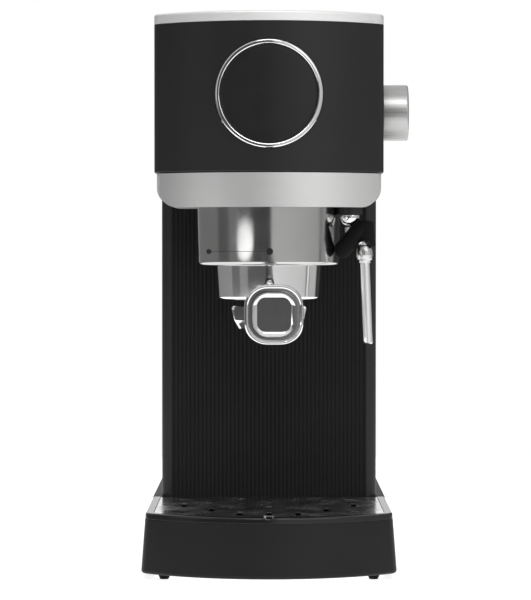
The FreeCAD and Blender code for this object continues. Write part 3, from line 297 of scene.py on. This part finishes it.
def tray_finish():
    """The drip tray's plastic: satin below, glossy on the upper lip and on top."""
    satin, glossy = 0.42, 0.16
    finish = Finish("tray_plastic", (0.008, 0.008, 0.0085), satin)
    finish.vary_colour(finish.noise(even(25)), 0.08)
    finish.add_bump(finish.noise(even(1600), 2), 0.06, 0.00004)
    place = finish.nodes.new("ShaderNodeTexCoord")
    split = finish.nodes.new("ShaderNodeSeparateXYZ")
    finish.links.new(place.outputs["Object"], split.inputs["Vector"])
    lip = [TRAY_LIP - 0.1 * MM, TRAY_LIP + 0.1 * MM]
    for socket, below, above in (("Roughness", satin, glossy), ("Specular IOR Level", 0.22, 0.5)):
        level = finish.spread(split.outputs["Z"], below, above, *lip)
        finish.links.new(level, finish.shader.inputs[socket])
    return finish


FINISHES = {
    "shell_paint": painted("shell_paint", (0.0145, 0.0145, 0.015), 0.42, Specular_IOR_Level=0.3),
    "dark_plastic": moulded("dark_plastic", (0.009, 0.009, 0.0095), 0.5, Specular_IOR_Level=0.25),
    "silver_plastic": moulded("silver_plastic", (0.45, 0.45, 0.445), 0.4, 1500, 0.1),
    "ribbed_plastic": moulded("ribbed_plastic", (0.0155, 0.0155, 0.0158), 0.65, Specular_IOR_Level=0.08),
    "tray_plastic": tray_finish(),
    "lid_plastic": moulded("lid_plastic", (0.012, 0.012, 0.0125), 0.35, 1800, 0.12),
    "plate_steel": brushed("plate_steel", (0.60, 0.60, 0.595), 0.36, (12, 1500, 1500), 0.03, 0.02),
    "brushed_trim": brushed("brushed_trim", (0.72, 0.72, 0.715), 0.45, (6, 900, 900), 0.012, 0, 0.03),
    "polished_steel": polished("polished_steel", (0.80, 0.80, 0.795), 0.22, even(60)),
    "chrome_trim": polished("chrome_trim", (0.80, 0.80, 0.80), 0.07, even(80)),
    "smoked_gloss": moulded("smoked_gloss", (0.015, 0.015, 0.0155), 0.36, 200, 0.02,
                            Specular_IOR_Level=0.24),
    "knob_aluminium": brushed("knob_aluminium", (0.46, 0.46, 0.455), 0.36, (30, 1500, 1500), 0.08, 0.05),
    "handle_plastic": moulded("handle_plastic", (0.010, 0.010, 0.0105), 0.38),
    "black_rubber": moulded("black_rubber", (0.004, 0.004, 0.004), 0.7, 3000, 0.3,
                            Specular_IOR_Level=0.15),
    "clear_tank": moulded("clear_tank", (0.72, 0.74, 0.76), 0.12, 60, 0.03,
                          Transmission_Weight=0.92, IOR=1.49),
    "white_plastic": moulded("white_plastic", (0.62, 0.62, 0.60), 0.45),
    "cast_aluminium": moulded("cast_aluminium", (0.45, 0.45, 0.45), 0.5, 900, 0.5, Metallic=1.0),
    "steel_parts": polished("steel_parts", (0.55, 0.55, 0.54), 0.25, even(400)),
    "brass_parts": polished("brass_parts", (0.62, 0.46, 0.20), 0.28, even(300)),
    "socket_plastic": moulded("socket_plastic", (0.007, 0.007, 0.007), 0.4),
    "copper_coil": moulded("copper_coil", (0.30, 0.11, 0.045), 0.4, 500, 0.4),
    "circuit_board": moulded("circuit_board", (0.02, 0.12, 0.05), 0.4),
    "wand_collar": polished("wand_collar", (0.62, 0.62, 0.615), 0.3, even(300)),
    "wand_steel": brushed("wand_steel", (0.90, 0.90, 0.895), 0.36, (900, 900, 6), 0.012, 0, 0.03),
    "top_steel": brushed("top_steel", (0.88, 0.88, 0.875), 0.6, (6, 900, 900), 0.012, 0, 0.03),
    # A darker copy of the polished steel for the collar: painted shade, standing in for the dimmer
    # reflections it shows under this light.
    "collar_steel_painted_shade": polished("collar_steel_painted_shade", (0.54, 0.54, 0.535), 0.14, even(60)),
    # A brighter copy of the polished steel for the bowl: painted light, standing in for the bright
    # reflections it shows under this light.
    "bowl_steel_painted_light": polished("bowl_steel_painted_light", (0.97, 0.97, 0.965), 0.08, even(60)),
    "handle_inset_grey": brushed("handle_inset_grey", (0.10, 0.10, 0.10), 0.5, even(900), 0.05),
}


# Nodes whose finish is a variant of their material slot's.
VARIANTS = {"top_plate": "top_steel"}


def finish_nodes():
    """Gives each CAD node the finish of its material slot, or its own variant of it."""
    for row in frame["record"]["subparts"]:
        node = frame["nodes"][row["node"]]
        node.data.materials.clear()
        finish = VARIANTS.get(row["node"], row["material_slot"])
        node.data.materials.append(material_of(finish))


def material_of(finish):
    """The Blender material of a finish."""
    return FINISHES[finish].material


# ---------------------------------------------------------------- control ring

def control_ring():
    """The bright ring: a rounded section carried round the dial on the bowed front."""
    width, proud, deep, corner = 2.6 * MM, 1.1 * MM, 5 * MM, 0.9 * MM
    section = rounded([(0, deep, 0), (width, deep, 0), (width, -proud, corner), (0, -proud, corner)], 6)
    turns = 256
    bm = bmesh.new()
    rings = []
    for k in range(turns):
        angle = 2 * math.pi * k / turns
        ring = []
        for across, depth in section:
            radius = DIAL_R - width + across
            x = radius * math.cos(angle)
            ring.append(Vector((x, bow_y(x) + depth, DIAL.z + radius * math.sin(angle))))
        rings.append(ring)
    join_rings(bm, rings)
    add_piece("control_ring", bm, "machine", material_of("chrome_trim"), ["control_bezel"])


def control_disc():
    """The smoked touch disc, set a little below the ring and following the bow, its rim sloped."""
    radius, depth, thick, rim_drop = DIAL_R - 2.7 * MM, 0.5 * MM, 2 * MM, 0.25 * MM
    steps, turns = 24, 128
    bm = bmesh.new()
    rings = []
    for face in (thick, 0):
        for k in range(steps + 1):
            share = k / steps if face else 1 - k / steps
            reach = max(radius * share, 1e-6)
            sunk = rim_drop if share == 1 and not face else 0
            ring = []
            for j in range(turns):
                angle = 2 * math.pi * j / turns
                x = reach * math.cos(angle)
                ring.append(Vector((x, bow_y(x) + depth + face + sunk, DIAL.z + reach * math.sin(angle))))
            rings.append(ring)
    join_rings(bm, rings)
    add_piece("control_disc", bm, "machine", material_of("smoked_gloss"), ["control_lens"])


# ---------------------------------------------------------------- brewing group

def upright(point):
    """A vertical axis through a point."""
    return Matrix.Translation((point.x, point.y, 0))


def group_collar():
    """The polished collar: rolled lower edge, turned in to the bayonet."""
    low, high, wall = SKIRT_LOW.z, SKIRT_HIGH.z, 1 * MM
    inner, foot, top_hole = 37.2 * MM, SKIRT_R - SKIRT_FLARE, 36.05 * MM
    section = rounded([
        (inner, low, 0.3 * MM), (foot, low, 2.4 * MM), (SKIRT_R, high, 0), (top_hole, high, 0),
        (top_hole, high - wall, 0), (SKIRT_R - wall, high - wall, 0),
        (foot - wall, low + wall, 1.6 * MM), (inner, low + wall, 0.3 * MM)])
    # The collar's finish is a darker copy of the polished steel: painted shade.
    add_piece("group_collar", lathe(section, upright(GROUP)), "machine", material_of("collar_steel_painted_shade"),
              ["group_skirt"])


def collar_patch(bm, angle, height, outline, proud=0.06 * MM):
    """A thin raised mark on the collar: outline is in metres round and up from (angle, height)."""
    faces = []
    for lift in (proud, 0):
        ring = []
        for across, up in outline:
            turn = angle + across / SKIRT_R
            rise = (height + up - SKIRT_LOW.z) / (SKIRT_HIGH.z - SKIRT_LOW.z)
            reach = SKIRT_R - SKIRT_FLARE * (1 - rise) + lift
            place = (GROUP.x + reach * math.sin(turn), GROUP.y - reach * math.cos(turn), height + up)
            ring.append(bm.verts.new(place))
        faces.append(ring)
        if lift:
            bm.faces.new(ring)
    for k in range(len(outline)):
        j = (k + 1) % len(outline)
        bm.faces.new((faces[0][k], faces[1][k], faces[1][j], faces[0][j]))


def lock_marks():
    """Two marks joined by a dashed line: where the handle goes in, and where it locks."""
    bm = bmesh.new()
    height, travel, locked = SKIRT_LOW.z + 8 * MM, math.radians(57), math.radians(0.6)
    stretch = 1.8                                   # the left mark is an oval, wider than it is tall
    collar_patch(bm, -travel, height, [(across * stretch, up) for across, up in circle(1.5 * MM, 24)])
    collar_patch(bm, locked, height, circle(1.9 * MM, 24))
    dashes, half, thin = 22, 0.55 * MM, 0.16 * MM
    dash = [(-half, -thin), (half, -thin), (half, thin), (-half, thin)]
    for k in range(dashes):
        collar_patch(bm, -travel * (k + 1.6) / (dashes + 2.2), height, dash)
    add_piece("lock_marks", bm, "machine", material_of("socket_plastic"))


# ---------------------------------------------------------------- portafilter

BOWL_LOW = 155.7 * MM
RIM_LOW = 179.6 * MM                            # the rim is a bead round the top of the bowl
RIM_TOP = 184.6 * MM


def portafilter_bowl():
    """The bowl, plain outside with a rounded foot, open inside for the basket."""
    drain, foot, top, rim = 3.5 * MM, 29 * MM, 30.4 * MM, 31.5 * MM
    floor = BOWL_LOW + 3.2 * MM
    section = rounded([
        (drain, BOWL_LOW, 0.4 * MM), (foot, BOWL_LOW, 1.8 * MM), (top, RIM_LOW - 1 * MM, 0.5 * MM),
        (rim, RIM_LOW, 0.3 * MM), (rim, RIM_TOP, 0.4 * MM), (top - 2.2 * MM, RIM_TOP, 0.4 * MM),
        (foot - 2.2 * MM, floor, 1 * MM), (drain, floor, 0.4 * MM)])
    bm = lathe(section, upright(GROUP))
    # The bowl's finish is a brighter copy of the polished steel: painted light.
    add_piece("portafilter_bowl", bm, "portafilter", material_of("bowl_steel_painted_light"),
              ["portafilter_body"])


def locking_ears():
    """Three ears round the rim that ride up on the group's lugs."""
    bm = bmesh.new()
    low, high = RIM_LOW, RIM_LOW + 4 * MM
    inner, outer, corner = 30.5 * MM, 36.2 * MM, 0.6 * MM
    half, steps = math.radians(20), 16
    section = rounded([(inner, low, 0), (outer, low, corner), (outer, high, corner), (inner, high, 0)], 4)
    for ear in range(3):
        centre = math.radians(-90 + 120 * ear)
        rings = []
        for k in range(steps + 1):
            angle = centre - half + 2 * half * k / steps
            cos, sin = math.cos(angle), math.sin(angle)
            rings.append([Vector((r * cos, GROUP.y + r * sin, z)) for r, z in section])
        capped_rings(bm, rings)
    add_piece("locking_ears", bm, "portafilter", material_of("chrome_trim"))


def handle_neck():
    """The turned neck between bowl and grip, flared where it meets the bowl."""
    bm = bmesh.new()
    stations = [(27.4, 5.2), (29.2, 5.1), (30.2, 4.8), (32, 4.6), (40, 4.5), (49, 4.5), (50, 4.9),
                (50.8, 5.9), (51.6, 6.4), (54, 6.4)]
    rings = [[HANDLE @ Vector((x, -along * MM, y)) for x, y in circle(radius * MM)]
             for along, radius in stations]
    capped_rings(bm, rings)
    add_piece("handle_neck", bm, "portafilter", material_of("chrome_trim"), sharp=50)


def handle_grip():
    """The dark grip: a rounded square bar that swells towards its end."""
    stations = [(52, 13.0, 5.4), (52.4, 14.6, 6.1), (53.6, 15.6, 6.5), (62, 16.4, 6.8), (76, 18.2, 7.6),
                (92, 20.5, 8.5), (110, 23.0, 9.3), (128, 25.7, 10.1), (142, 27.9, 10.7), (152, 29.3, 11.1),
                (153, 29.0, 11.0)]
    add_piece("handle_grip_bar", handle_solid(stations), "portafilter", material_of("handle_plastic"),
              ["handle_grip"], 30)


def handle_end():
    """The bright end of the handle: an outer ring, a groove, a square dish and a flat grey inset."""
    end = HANDLE_END / MM
    chrome = material_of("chrome_trim")
    ring = [(end - 7, 29.0, 11), (end - 6.8, 30.0, 11.3), (end - 6.2, 30.4, 11.5),
            (end - 1.2, 30.4, 11.5), (end - 0.4, 29.9, 11.3), (end, 28.9, 10.9), (end, 28.1, 10.5),
            (end - 0.4, 27.0, 10.1), (end - 1.2, 26.4, 9.8), (end - 4, 26.2, 9.7), (end - 4, 24, 8.8)]
    add_piece("handle_end_ring", handle_solid(ring), "portafilter", chrome,
              ["handle_ring"], 32)
    dish = [(end - 3.98, 23.6, 8.6), (end - 0.9, 23.6, 8.6), (end - 0.6, 23.3, 8.5),
            (end - 0.6, 22.6, 8.1), (end - 0.9, 22.2, 7.9), (end - 2.5, 17.9, 4.6),
            (end - 2.6, 17.4, 4.4), (end - 2.6, 2, 0.5)]
    add_piece("handle_end_frame", handle_solid(dish), "portafilter", chrome,
              ["handle_cap"], 24)
    inset = [(end - 2.9, 17.2, 4.2), (end - 2.5, 17.2, 4.2), (end - 2.35, 16.8, 4.0), (end - 2.3, 2, 0.5)]
    add_piece("handle_inset", handle_solid(inset), "portafilter", material_of("handle_inset_grey"),
              sharp=30)


def twin_spout():
    """The double spout: a bridge under the bowl and two short downward nozzles."""
    low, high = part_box("spout_block")
    half, depth = (high.x - low.x) / 2, (high.y - low.y) / 2
    top, root = 152 * MM, 8 * MM                    # the bridge's top, and half the width of its root
    slope, knee, arch = low.z + 5 * MM, 7.5 * MM, low.z + 6.5 * MM
    bm = bmesh.new()
    profile = rounded([
        (-half, top, 1.6 * MM), (-half + 2 * MM, slope, 3 * MM), (-half + 5 * MM, low.z, 1.2 * MM),
        (-10 * MM, low.z, 1.2 * MM), (-knee, arch, 2.4 * MM), (knee, arch, 2.4 * MM),
        (10 * MM, low.z, 1.2 * MM), (half - 5 * MM, low.z, 1.2 * MM), (half - 2 * MM, slope, 3 * MM),
        (half, top, 1.6 * MM), (root, top, 0.8 * MM), (root, BOWL_LOW, 0), (-root, BOWL_LOW, 0),
        (-root, top, 0.8 * MM)], 6)
    mid_z = (top + low.z) / 2
    rings = []
    for share, squeeze in ((-1, 0.94), (-0.93, 0.985), (-0.8, 1), (0.8, 1), (0.93, 0.985), (1, 0.94)):
        ring = []
        for p in profile:
            height = min(mid_z + (p.y - mid_z) * squeeze, BOWL_LOW)
            ring.append(Vector((GROUP.x + p.x * squeeze, GROUP.y + depth * share, height)))
        rings.append(ring)
    rows = join_rings(bm, rings, closed=False)
    for row in (rows[0], rows[-1]):
        bmesh.ops.triangle_fill(bm, use_beauty=True, edges=[
            bm.edges.get((row[k], row[(k + 1) % len(row)])) for k in range(len(row))])
    add_piece("twin_spout", bm, "portafilter", material_of("chrome_trim"), ["spout_block"], 35)


# ---------------------------------------------------------------- steam side

def steam_knob():
    """Turned aluminium knob with a chamfered rim and a shallow dished face."""
    length, radius = KNOB_HIGH.x - KNOB_LOW.x, (KNOB_HIGH.z - KNOB_LOW.z) / 2
    bore, bore_end = 3.2 * MM, 9.2 * MM
    section = rounded([
        (bore, 0, 0), (radius, 0, 0.7 * MM), (radius, length, 1.3 * MM),
        (radius - 2.4 * MM, length, 0.5 * MM), (radius - 3 * MM, length - 0.5 * MM, 0.4 * MM),
        (0, length - 0.8 * MM, 0), (0, bore_end, 0), (bore, bore_end, 0)])
    place = Matrix.Translation((KNOB_LOW.x, KNOB.y, KNOB.z)) @ Matrix.Rotation(math.pi / 2, 4, "Y")
    add_piece("turned_knob", lathe(section, place), "knob", material_of("knob_aluminium"),
              ["steam_knob"])


BEND = Vector((54 * MM, BALL.y, BALL.z - 14.8 * MM))      # where the pipe turns down for its long straight
PIPE_TIP = Vector((56.2 * MM, BALL.y, 133 * MM))
DOWN = (PIPE_TIP - BEND).normalized()


def wand_path():
    """The pipe's centreline: down from the ball, out to the right, then down again with a slight lean."""
    end = BEND + DOWN * (BEND.z - WAND_LOW - 0.4 * MM) / -DOWN.z
    corners = [(BALL.x, BALL.z - 6 * MM, 0), (BALL.x, BALL.z - 9.5 * MM, 3.5 * MM),
               (BEND.x, BEND.z, 4.5 * MM), (end.x, end.z, 0)]
    points = [Vector((x, BALL.y, z)) for x, z in rounded(corners, 10, closed=False)]
    bend_end, tip = points[-2:]
    steps, shoulder = 12, 0.985                     # the tip narrows after its shoulder
    run = [bend_end.lerp(tip, k / steps) for k in range(1, steps)] + [bend_end.lerp(tip, shoulder)]
    return points[:-1] + run + [tip]


def turned_on_wand(section, reshape=None):
    """A lathe about the pipe's straight, with heights down the pipe from the bend; reshape moves them."""
    turns = 96
    place = Matrix.Translation(BEND) @ Vector((0, 0, 1)).rotation_difference(DOWN).to_matrix().to_4x4()
    if not reshape:
        return lathe(section, place, turns)
    bm = lathe(section, Matrix.Identity(4), turns)
    for vert in bm.verts:
        vert.co.z = reshape(vert.co)
    bmesh.ops.transform(bm, matrix=place, verts=bm.verts)
    return bm


def steam_wand():
    """Ball, pipe and domed collar; the pipe narrows slightly and ends in a slanted, rounded tip."""
    bm = bmesh.new()
    path = wand_path()
    last = len(path) - 1

    def pipe_section(i):
        radius = 2.9 * MM - 0.25 * MM * i / last
        return circle(radius * (0.8 if i == last else 1))

    sweep(bm, path, pipe_section)
    slant = 0.2
    for vert in bm.verts:
        if vert.co.z < WAND_LOW + 1.2 * MM:
            vert.co.z += slant * (path[-1].x - vert.co.x) + 0.6 * MM
    add_piece("steam_pipe", bm, "wand", material_of("wand_steel"), ["wand_pipe"])
    ball = bmesh.new()
    bmesh.ops.create_uvsphere(ball, u_segments=64, v_segments=40, radius=BALL_R,
                              matrix=Matrix.Translation(BALL))
    add_piece("swivel_ball", ball, "wand_swivel", material_of("chrome_trim"), ["wand_ball"])
    bore, top, foot = 2.6 * MM, 1.4 * MM, 11.5 * MM
    collar = rounded([(bore, top, 0), (3.9 * MM, top, 1.2 * MM), (4.85 * MM, 4.6 * MM, 3 * MM),
                      (4.8 * MM, 7 * MM, 3 * MM), (4.3 * MM, 9.4 * MM, 0.5 * MM),
                      (3.5 * MM, 10 * MM, 0.5 * MM), (3.2 * MM, foot, 0.3 * MM), (bore, foot, 0)])
    add_piece("wand_collar", turned_on_wand(collar), "wand", material_of("wand_collar"))


def rubber_grip():
    """The heat guard: a sleeve over the pipe's bend, arched at its foot, with a thumb tab on one side."""
    top, start, foot = -12.6 * MM, -5 * MM, 2.4 * MM    # it is arched from start to foot
    arch_r, arch_at = 5 * MM, 4.1 * MM
    bore, inner, step = 2.9 * MM, 5 * MM, 1.3 * MM

    def arched(co):
        if co.z < start:
            return co.z
        gap = max(arch_r ** 2 - co.x ** 2, 0)
        edge = min(foot, arch_at - math.sqrt(gap)) if gap else foot
        return start + (co.z - start) * (edge - start) / (foot - start)

    sleeve = rounded([(bore, top, 0), (6 * MM, top, 2.6 * MM), (6.2 * MM, foot - 3 * MM, 6 * MM),
                      (6.8 * MM, foot - 0.6 * MM, 0.6 * MM), (6.5 * MM, foot, 0.5 * MM),
                      (inner, foot, 0.2 * MM), (inner, step, 0), (bore, step, 0)])
    bm = turned_on_wand(sleeve, arched)
    tab = bmesh.new()
    tab_r, run, flatten = 4.9 * MM, 14 * MM, 0.8
    bmesh.ops.create_uvsphere(tab, u_segments=64, v_segments=40, radius=tab_r)
    for vert in tab.verts:
        vert.co.y *= flatten
        if vert.co.z > 1e-5:
            vert.co.z += run
    tab_place = BALL + Vector((-4.2, -3, -18.6)) * MM
    place = Matrix.Translation(tab_place) @ Matrix.Rotation(math.radians(40), 4, "Y")
    bmesh.ops.transform(tab, matrix=place, verts=tab.verts)
    merged = bpy.data.meshes.new("tab")
    tab.to_mesh(merged)
    tab.free()
    bm.from_mesh(merged)
    bpy.data.meshes.remove(merged)
    add_piece("rubber_sleeve", bm, "wand", material_of("black_rubber"), ["wand_grip"])


# ---------------------------------------------------------------- studio

def emitter(name, colour, strength):
    """A plain glowing stage material."""
    material = bpy.data.materials.new(name)
    material.use_nodes = True
    nodes, links = material.node_tree.nodes, material.node_tree.links
    nodes.clear()
    output = nodes.new("ShaderNodeOutputMaterial")
    glow = nodes.new("ShaderNodeEmission")
    glow.inputs["Color"].default_value = (*colour, 1)
    glow.inputs["Strength"].default_value = strength
    links.new(glow.outputs["Emission"], output.inputs["Surface"])
    return material


def stage_mesh(name, bm, material):
    """An object of the studio, which isn't part of the machine."""
    mesh = bpy.data.meshes.new(name)
    bm.to_mesh(mesh)
    bm.free()
    mesh.materials.append(material)
    thing = bpy.data.objects.new(name, mesh)
    bpy.context.scene.collection.objects.link(thing)
    return thing


def white_surroundings():
    """A pale floor, and a white dome that only the camera and clear plastic see."""
    floor = Finish("studio_floor", (0.86, 0.86, 0.86), 0.7)
    floor.vary_colour(floor.noise(even(3)), 0.01)
    floor.shader.inputs["Emission Color"].default_value = (1, 1, 1, 1)
    floor.shader.inputs["Emission Strength"].default_value = 0.72
    bm = bmesh.new()
    bmesh.ops.create_circle(bm, cap_ends=True, segments=96, radius=0.75)
    stage_mesh("studio_floor", bm, floor.material)
    bm = bmesh.new()
    bmesh.ops.create_uvsphere(bm, u_segments=48, v_segments=24, radius=13)
    dome = stage_mesh("white_dome", bm, emitter("dome_white", (1, 1, 1), 1.0))
    dome.visible_diffuse = False
    dome.visible_glossy = False
    dome.visible_shadow = False
    dome.visible_volume_scatter = False


# Brightness of the studio by bearing: degrees from -Y, straight ahead of the machine, towards +X.
BEARINGS = [
    (-180, 1.0), (-162, 1.0), (-157, 0.22), (-92, 0.24), (-88, 0.13), (-70, 0.13), (-66, 0.24), (-50, 0.22),
    (-46, 0.08), (2, 0.08), (5, 0.64), (60, 0.56), (88, 0.50), (92, 0.15), (96, 0.42), (126, 0.42),
    (132, 0.04), (168, 0.05), (173, 1.0), (180, 1.0)]


def studio_world():
    """Soft light from all round: white behind, a broad soft box towards +X, greys and gaps elsewhere."""
    world = bpy.data.worlds.new("studio")
    bpy.context.scene.world = world
    world.use_nodes = True
    nodes, links = world.node_tree.nodes, world.node_tree.links
    place = nodes.new("ShaderNodeTexCoord")
    split = nodes.new("ShaderNodeSeparateXYZ")
    links.new(place.outputs["Generated"], split.inputs["Vector"])
    flip = nodes.new("ShaderNodeMath")
    flip.operation = "MULTIPLY"
    flip.inputs[1].default_value = -1
    links.new(split.outputs["Y"], flip.inputs[0])
    bearing = nodes.new("ShaderNodeMath")
    bearing.operation = "ARCTAN2"
    links.new(split.outputs["X"], bearing.inputs[0])
    links.new(flip.outputs["Value"], bearing.inputs[1])
    share = nodes.new("ShaderNodeMapRange")
    share.inputs["From Min"].default_value = -math.pi
    share.inputs["From Max"].default_value = math.pi
    links.new(bearing.outputs["Value"], share.inputs["Value"])
    ramp = nodes.new("ShaderNodeValToRGB")
    stops = ramp.color_ramp.elements
    while len(stops) < len(BEARINGS):
        stops.new(0.5)
    for stop, (degrees, value) in zip(stops, BEARINGS):
        stop.position = (degrees + 180) / 360
        stop.color = (value, value, value, 1)
    links.new(share.outputs["Result"], ramp.inputs["Fac"])
    overhead = nodes.new("ShaderNodeMapRange")
    overhead.inputs["From Min"].default_value = 0.35    # the Z of a direction, where the ceiling begins
    overhead.inputs["From Max"].default_value = 0.75
    links.new(split.outputs["Z"], overhead.inputs["Value"])
    mix = nodes.new("ShaderNodeMix")
    mix.data_type = "RGBA"
    mix.inputs["B"].default_value = (0.85, 0.85, 0.85, 1)
    links.new(overhead.outputs["Result"], mix.inputs["Factor"])
    links.new(ramp.outputs["Color"], mix.inputs["A"])
    links.new(mix.outputs["Result"], nodes["Background"].inputs["Color"])


def area_light(name, place, aim, size, power, shape="RECTANGLE"):
    """A lamp, its size in metres and power in watts, aimed at a point and hidden from the camera."""
    light = bpy.data.lights.new(name, "AREA")
    light.shape = shape
    light.size, light.size_y = size
    light.energy = power
    lamp = bpy.data.objects.new(name, light)
    bpy.context.scene.collection.objects.link(lamp)
    lamp.location = place
    lamp.rotation_euler = (Vector(aim) - Vector(place)).to_track_quat("-Z", "Y").to_euler()
    lamp.visible_camera = False


def lights():
    """A key to the right, a weak fill to the left, one high ahead, and a small oval one for the collar."""
    aim = (0, -0.05, 0.18)
    area_light("key", (1.0, -1.6, 0.9), aim, (0.9, 0.9), 3)
    area_light("fill", (-1.5, -1.3, 0.7), aim, (0.8, 0.8), 1)
    area_light("top", (0, -1.2, 1.3), (0, -0.1, 0.2), (0.8, 0.5), 6)
    oval, collar = (-0.258, GROUP.y - 0.34, 0.145), (0, GROUP.y, 0.177)
    area_light("oval", oval, collar, (0.20, 0.051), 0.052, "ELLIPSE")


def camera():
    """A long lens straight ahead, a little above the machine's middle height and tipped down slightly."""
    data = bpy.data.cameras.new("camera")
    data.lens = 153.5
    data.sensor_width = 36
    data.clip_end = 40
    eye = Vector((0, -1.545, 0.1805))
    aim = Vector((-0.0019, -0.145, 0.1564))
    thing = bpy.data.objects.new("camera", data)
    bpy.context.scene.collection.objects.link(thing)
    thing.location = eye
    thing.rotation_euler = (aim - eye).to_track_quat("-Z", "Y").to_euler()
    bpy.context.scene.camera = thing


# ---------------------------------------------------------------- everything together

finish_nodes()
control_ring()
control_disc()
group_collar()
lock_marks()
portafilter_bowl()
locking_ears()
handle_neck()
handle_grip()
handle_end()
twin_spout()
steam_knob()
steam_wand()
rubber_grip()
white_surroundings()
studio_world()
lights()
camera()
bpy.context.scene.view_settings.view_transform = "Standard"
